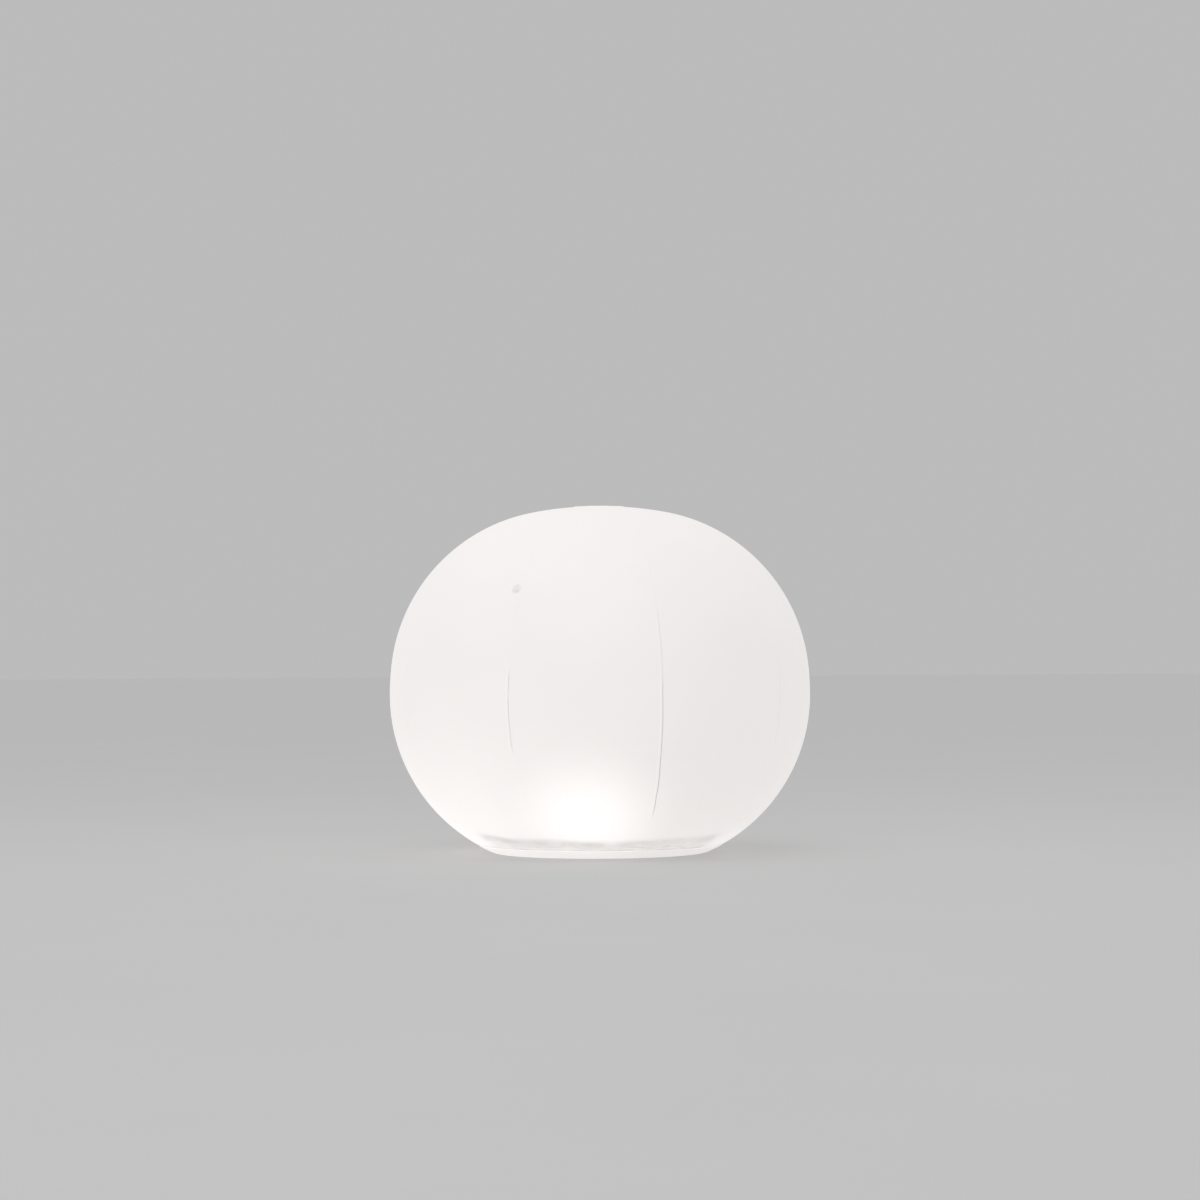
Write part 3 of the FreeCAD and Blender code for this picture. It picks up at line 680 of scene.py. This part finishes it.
def to_valve_plane(point):
    """Pulls the film round the valve flat under the valve's flange."""
    away = point - VALVE_CENTRE
    out = away.dot(VALVE_NORMAL)
    beside = (away - VALVE_NORMAL * out).length
    if abs(out) > VALVE_REACH:
        return point
    return point - VALVE_NORMAL * out * (1 - smooth((beside - FLAT_RADIUS) / FLAT_BLEND))


def gore(number, material):
    """One panel of the film, from seam to seam."""
    start = FRONT_SEAM + (number - 1) * GORE_ANGLE
    shares = list(COLUMN_SHARES) + [1 - share for share in reversed(COLUMN_SHARES[:-1])]
    rows = gore_rows()
    verts = []
    for radius, height, (out_r, out_z) in rows:
        for share in shares:
            angle = start + share * GORE_ANGLE
            offset = seam_offset(angle, radius, height) + foot_offset(angle, height)
            verts.append(to_valve_plane(around(angle, radius + out_r * offset, height + out_z * offset)))
    made = piece(f"gore_{number}", verts, strip_faces(len(rows), len(shares)), material, "globe")
    thicken(made, FILM)
    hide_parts(f"gore_panel_{number}")


def crown_patch(material):
    """The disc over the gores' tips, puckered a little where each seam ends under it."""
    verts = []
    for ring in range(CROWN_RINGS + 1):
        share = ring / CROWN_RINGS
        radius = max(CROWN_MIDDLE, CROWN_RADIUS * share)
        for column in range(CROWN_COLUMNS):
            angle = 2 * math.pi * column / CROWN_COLUMNS
            lift = CROWN_LIFT * math.cos((angle - FRONT_SEAM) * GORES) * share ** 2
            height = CROWN_ARC[0][1] + math.sqrt(CROWN_SPHERE ** 2 - radius ** 2) + lift
            verts.append(around(angle, radius, height))
    faces = strip_faces(CROWN_RINGS + 1, CROWN_COLUMNS, closed=True)
    faces.append(tuple(reversed(range(CROWN_COLUMNS))))
    made = piece("crown_patch", verts, faces, material, "globe")
    thicken(made, FILM)
    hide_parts("crown_disc")


def base_sheet(material):
    """The flat base from the port outwards, with its rolled corner and the edge that laps up the film."""
    edge = arc_points(CORNER_CENTRE, CORNER_RADIUS, -90, CORNER_END, CORNER_STEPS)
    edge += arc_points(WALL_CENTRE, WALL_RADIUS, CORNER_END, LAP_END, LAP_STEPS)
    edge += arc_points(WALL_CENTRE, WALL_RADIUS, LAP_END, LAP_END + 1, 1)
    port = Vector((PORT_X, 0, 0))
    angles = [2 * math.pi * column / BASE_COLUMNS for column in range(BASE_COLUMNS)]
    verts = []
    for ring in range(BASE_RINGS):
        for angle in angles:
            rim = port + around(angle, PORT_RADIUS, 0)
            verts.append(rim.lerp(around(angle, edge[0][0], 0), ring / BASE_RINGS))
    for radius, height, out in edge:
        for angle in angles:
            wave = BASE_WAVE * math.sin(pucker_phase(angle)) * min(1.0, height / PUCKER_RISE)
            verts.append(around(angle, radius + wave * out[0], height + wave * out[1]))
    faces = strip_faces(BASE_RINGS + len(edge), BASE_COLUMNS, closed=True)
    made = piece("base_sheet", verts, faces, material, "globe")
    thicken(made, BASE_SHEET)
    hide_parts("base_panel")


def tether_sheet(material):
    """The tab: its root welded round the base's edge, then straight, with a round end about the eyelet."""
    radial = around(TAB_ANGLE, 1, 0)
    across = Vector((math.cos(TAB_ANGLE), math.sin(TAB_ANGLE), 0))
    mid_radius = WALL_RADIUS + TAB_THICKNESS / 2
    low = math.radians(LAP_END)

    def place(along, aside):
        """A point of the tab's middle, from the end of the weld and from its centre line."""
        turn = low + min(0.0, along) / mid_radius
        free = max(0.0, along)
        out = WALL_CENTRE[0] + mid_radius * math.cos(turn) - free * math.sin(turn)
        height = WALL_CENTRE[1] + mid_radius * math.sin(turn) + free * math.cos(turn)
        away = math.hypot(along - TAB_EYELET, aside) - EYELET_RADIUS
        wave = math.sin(along * TAB_CURL_TURNS[0] + aside * TAB_CURL_TURNS[1])
        curl = TAB_CURL * smooth(away / TAB_CURL_START) * wave * smooth(free / TAB_FREE_START)
        return (radial * (out + curl * math.cos(turn)) + across * aside
                + Vector((0, 0, height + curl * math.sin(turn))))

    half = TAB_WIDTH / 2
    never_zero = 1e-6
    verts = []
    for ring in range(TAB_RINGS + 1):
        for column in range(TAB_COLUMNS):
            angle = 2 * math.pi * column / TAB_COLUMNS
            way = (math.cos(angle), math.sin(angle))
            reach = half / max(abs(way[1]), never_zero) if way[0] < 0 else half
            if way[0] < 0:
                reach = min(reach, (TAB_EYELET + TAB_ROOT) / -way[0])
            distance = EYELET_RADIUS + (reach - EYELET_RADIUS) * ring / TAB_RINGS
            verts.append(place(TAB_EYELET + distance * way[0], distance * way[1]))
    faces = strip_faces(TAB_RINGS + 1, TAB_COLUMNS, closed=True)
    made = piece("tether_sheet", verts, faces, material, "globe")
    thicken(made, TAB_THICKNESS, offset=0)
    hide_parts("tether_tab")


# Small details
def dome_grid(origin, along, across, up, length, width, height):
    """A low rounded rib: its points and faces, on a plane through the origin."""
    rows, columns = 6, 28
    fullness, squareness = 0.7, 0.45
    verts = []
    for row in range(rows + 1):
        rise = math.pi / 2 * row / rows
        ring = math.cos(rise) ** fullness
        for column in range(columns):
            angle = 2 * math.pi * column / columns
            x = math.copysign(abs(math.cos(angle)) ** squareness, math.cos(angle)) * ring * length / 2
            y = math.copysign(abs(math.sin(angle)) ** squareness, math.sin(angle)) * ring * width / 2
            verts.append(origin + along * x + across * y + up * (math.sin(rise) * height))
    return verts, strip_faces(rows + 1, columns, closed=True)


def bead_grid(centre, across, aside, up, radius, width, height):
    """A low round bead that runs in a circle on a plane."""
    rows, columns = 6, 72
    verts = []
    for row in range(rows + 1):
        arc = math.pi * row / rows
        for column in range(columns):
            angle = 2 * math.pi * column / columns
            way = across * math.cos(angle) + aside * math.sin(angle)
            verts.append(centre + way * (radius + width / 2 * math.cos(arc)) + up * (math.sin(arc) * height))
    return verts, strip_faces(rows + 1, columns, closed=True)


def screw_grid(centre, radius, height):
    """A round screw head with a cross recess, facing up."""
    rings, columns = 18, 64
    least_radius, flatness = 0.00002, 5
    verts = []
    for ring in range(rings + 1):
        r = max(least_radius, radius * (1 - ring / rings))
        for column in range(columns):
            angle = 2 * math.pi * column / columns
            x, y = r * math.cos(angle), r * math.sin(angle)
            lift = height * (1 - (r / radius) ** flatness)
            narrow, reach = min(abs(x), abs(y)), max(abs(x), abs(y))
            cut = smooth((CROSS_HALF_WIDTH - narrow) / CROSS_EDGES[0])
            cut *= smooth((radius * CROSS_REACH_SHARE - reach) / CROSS_EDGES[1])
            verts.append(centre + Vector((x, y, lift - CROSS_DEPTH * cut)))
    return verts, strip_faces(rings + 1, columns, closed=True)


def joined(name, grids, material, body):
    """Several small forms as one piece."""
    verts, faces = [], []
    for more_verts, more_faces in grids:
        start = len(verts)
        verts += more_verts
        faces += [tuple(index + start for index in face) for face in more_faces]
    made = piece(name, verts, faces, material, body)
    tidy = bmesh.new()
    tidy.from_mesh(made.data)
    bmesh.ops.recalc_face_normals(tidy, faces=tidy.faces)
    tidy.to_mesh(made.data)
    tidy.free()


def valve_details(material):
    """Weld beads on the flange, and a bead and finger ribs on the plug."""
    down = VALVE_SIDE.cross(VALVE_NORMAL)
    flange = VALVE_CENTRE + VALVE_NORMAL * VALVE_FACE
    beads = [bead_grid(flange, down, VALVE_SIDE, VALVE_NORMAL, radius, *VALVE_BEAD)
             for radius in VALVE_BEAD_RADII]
    joined("valve_weld_beads", beads, material, "globe")
    cap = VALVE_CENTRE + VALVE_NORMAL * PLUG_TOP
    grids = [bead_grid(cap, down, VALVE_SIDE, VALVE_NORMAL, *PLUG_BEAD)]
    for reach in PLUG_RIB_PLACES:
        grids.append(dome_grid(cap - down * reach, VALVE_SIDE, down, VALVE_NORMAL, *PLUG_RIB))
    joined("valve_plug_ribs", grids, material, "valve_plug")


def module_details(ring_material, rubber, cover_material, floor_material, screw_material):
    """What fingers feel under the lamp module, and the screws through its LED board."""
    port = Vector((PORT_X, 0, 0))
    down = Vector((0, 0, -1))
    grids = []
    for grip in range(GRIPS):
        turn = 2 * math.pi * grip / GRIPS
        out = Vector((math.cos(turn), math.sin(turn), 0))
        aside = Vector((-math.sin(turn), math.cos(turn), 0))
        for step in (-GRIP_STEP, 0, GRIP_STEP):
            foot = port + out * GRIP_MIDDLE + aside * step + Vector((0, 0, GRIP_FACE))
            grids.append(dome_grid(foot, out, aside, down, *GRIP_RIB))
    joined("ring_grip_ribs", grids, ring_material, "lock_ring")

    sideways, lengthways = Vector((1, 0, 0)), Vector((0, 1, 0))
    button = port + Vector((BUTTON_PLACE, 0, BUTTON_FACE))
    bead = bead_grid(button, sideways, lengthways, down, *BUTTON_BEAD)
    joined("button_bead", [bead], rubber, "power_button")

    ribs = []
    for place in COVER_RIB_PLACES:
        foot = port + Vector((-place, 0, COVER_FACE))
        ribs.append(dome_grid(foot, lengthways, sideways, down, *COVER_RIB))
    joined("cover_grip_ribs", ribs, cover_material, "charge_cover")

    rims = [bead_grid(port + Vector((place, 0, FLOOR_FACE)), sideways, lengthways, down, *size)
            for place, size in ((BUTTON_PLACE, BUTTON_RIM), (0, FLOOR_RIM))]
    joined("housing_floor_rims", rims, floor_material, "light_module")

    screws = []
    for side in (-1, 1):
        for end in (-1, 1):
            place = port + Vector((end * PILLAR_PLACE, side * PILLAR_PLACE, LED_BOARD_TOP))
            screws.append(screw_grid(place, SCREW_RADIUS, SCREW_HEIGHT))
    joined("led_board_screws", screws, screw_material, "light_module")


# Finishes of the nodes that keep their CAD shape
pvc = moulded("soft pvc", (0.78, 0.775, 0.765), 0.42, Specular_IOR_Level=0.4)
lit_pvc = moulded("lit soft pvc", (0.64, 0.635, 0.625), 0.38, Emission_Color=(*GLOW_COLOR, 1),
                  Emission_Strength=0.28)
ring_plastic = moulded("ring plastic", (0.50, 0.50, 0.51), 0.55, grain=1100.0)
housing_plastic = moulded("housing plastic", (0.72, 0.72, 0.71), 0.5, grain=1100.0)
grey_rubber = moulded("grey rubber", (0.12, 0.12, 0.125), 0.7, grain=1500.0)
silicone = moulded("silicone", (0.66, 0.66, 0.64), 0.4)
black = moulded("black plastic", (0.02, 0.02, 0.02), 0.45)
button_rubber = moulded("button rubber", (0.18, 0.18, 0.19), 0.65, grain=1500.0)
board_mask = moulded("board mask", (0.012, 0.10, 0.045), 0.35, grain=400.0)
cell_wrap = moulded("cell wrap", (0.02, 0.08, 0.28), 0.25, grain=200.0, Coat_Weight=0.4)
foam = moulded("foam", (0.03, 0.03, 0.03), 0.95, grain=1800.0, depth=0.0003)
sink_metal = metal("extruded aluminium", (0.82, 0.82, 0.83), 0.35, (0.05, 1, 1))
led_mask = moulded("led board mask", (0.85, 0.85, 0.85), 0.4)
steel = metal("rolled steel", (0.75, 0.75, 0.75), 0.25)
lens = moulded("frosted lens", (0.60, 0.59, 0.58), 0.6, Emission_Color=(1, 0.98, 0.95, 1),
               Emission_Strength=0.4)
phosphor = moulded("led phosphor", (0.9, 0.8, 0.4), 0.3, Emission_Color=(1, 0.98, 0.93, 1),
                   Emission_Strength=1.0)

FINISHES = {
    "port_collar": pvc, "tether_eyelet": steel, "valve_body": lit_pvc,
    "valve_plug": lit_pvc, "valve_strap": lit_pvc, "valve_flap": silicone, "lock_ring": ring_plastic,
    "lamp_housing": housing_plastic, "housing_seal": grey_rubber, "lens_cap": lens, "charge_socket": black,
    "charge_cover": grey_rubber, "charge_strap": grey_rubber, "power_button": button_rubber,
    "push_switch": black, "control_board": board_mask, "board_components": black, "battery_tray": black,
    "battery_pad": foam, "heat_sink": sink_metal, "led_board": led_mask, "leds": phosphor,
    "battery_cell_1": cell_wrap, "battery_cell_2": cell_wrap, "battery_cell_3": cell_wrap,
    "battery_cell_4": cell_wrap,
}
for node, material in FINISHES.items():
    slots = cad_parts[node].data.materials
    slots.clear()
    slots.append(material)

film = film_finish("lit film", FILM_LEVEL, ("seams", "fold", "valve"))
for number in range(1, GORES + 1):
    gore(number, film)
crown_patch(film_finish("lit crown film", CROWN_LEVEL, ("crown",)))
base_sheet(film_finish("lit base film", BASE_LEVEL, ("port",)))
tether_sheet(pvc)
valve_details(lit_pvc)
module_details(ring_plastic, button_rubber, grey_rubber, housing_plastic, steel)


# Floor, backdrop and light
def studio_floor():
    """A plain pale floor, far wider than the camera sees."""
    shade = Shade("studio floor", (0.6, 0.6, 0.6), 0.9)
    cloudy = shade.noise(scale=1.2, detail=3.0)
    shade.set("Base Color", shade.mix(cloudy, (0.59, 0.59, 0.59), (0.61, 0.61, 0.61)))
    shade.set("Roughness", shade.uneven(scale=3.0, start=0.85, end=0.95))
    signs = ((-1, -1), (1, -1), (1, 1), (-1, 1))
    mesh = bpy.data.meshes.new("floor")
    mesh.from_pydata([(x * FLOOR_REACH, y * FLOOR_REACH, FLOOR_LEVEL) for x, y in signs], [], [(0, 1, 2, 3)])
    mesh.materials.append(shade.material)
    floor = bpy.data.objects.new("floor", mesh)
    bpy.context.scene.collection.objects.link(floor)


def studio_world(light, backdrop):
    """Even light all round, and a pale backdrop that the camera and reflections see."""
    world = bpy.data.worlds.new("studio")
    bpy.context.scene.world = world
    world.use_nodes = True
    tree = world.node_tree
    lit = tree.nodes["Background"]
    lit.inputs["Color"].default_value = (light, light, light, 1)
    seen = tree.nodes.new("ShaderNodeBackground")
    seen.inputs["Color"].default_value = (backdrop, backdrop, backdrop, 1)
    path = tree.nodes.new("ShaderNodeLightPath")
    share = path.outputs["Is Camera Ray"]
    for output in ("Is Glossy Ray", "Is Transmission Ray"):
        either = tree.nodes.new("ShaderNodeMath")
        either.operation = "MAXIMUM"
        tree.links.new(share, either.inputs[0])
        tree.links.new(path.outputs[output], either.inputs[1])
        share = either.outputs[0]
    mixed = tree.nodes.new("ShaderNodeMixShader")
    tree.links.new(share, mixed.inputs[0])
    tree.links.new(lit.outputs[0], mixed.inputs[1])
    tree.links.new(seen.outputs[0], mixed.inputs[2])
    tree.links.new(mixed.outputs[0], tree.nodes["World Output"].inputs["Surface"])


def soft_lamp(name, place, power):
    """A large round lamp that faces the globe's middle."""
    data = bpy.data.lights.new(name, "AREA")
    data.shape = "DISK"
    data.size = SOFT_LAMP_SIZE
    data.energy = power
    lamp = bpy.data.objects.new(name, data)
    bpy.context.scene.collection.objects.link(lamp)
    lamp.location = place
    lamp.rotation_euler = (SOFT_LAMP_TARGET - Vector(place)).to_track_quat("-Z", "Y").to_euler()


studio_floor()
studio_world(WORLD_LIGHT, BACKDROP)
soft_lamp("overhead", (0.2, -0.8, 5.0), power=22)
soft_lamp("front_fill", (-1.0, -7.0, 4.5), power=30)

# Camera at the photograph's eye level, with its slight roll
FOCAL_PX = 3200.0
PICTURE_PX = 1200.0
HORIZON_PX = 50.0
EYE = (0.0016, -9.16, 0.578)
ROLL = math.radians(-0.3)
data = bpy.data.cameras.new("camera")
data.sensor_width = 36.0
data.lens = data.sensor_width * FOCAL_PX / PICTURE_PX
camera = bpy.data.objects.new("camera", data)
bpy.context.scene.collection.objects.link(camera)
pitch = math.pi / 2 + math.atan(HORIZON_PX / FOCAL_PX)
camera.matrix_world = Matrix.Translation(EYE) @ Matrix.Rotation(pitch, 4, "X") @ Matrix.Rotation(ROLL, 4, "Z")
bpy.context.scene.camera = camera
bpy.context.scene.view_settings.view_transform = "Standard"
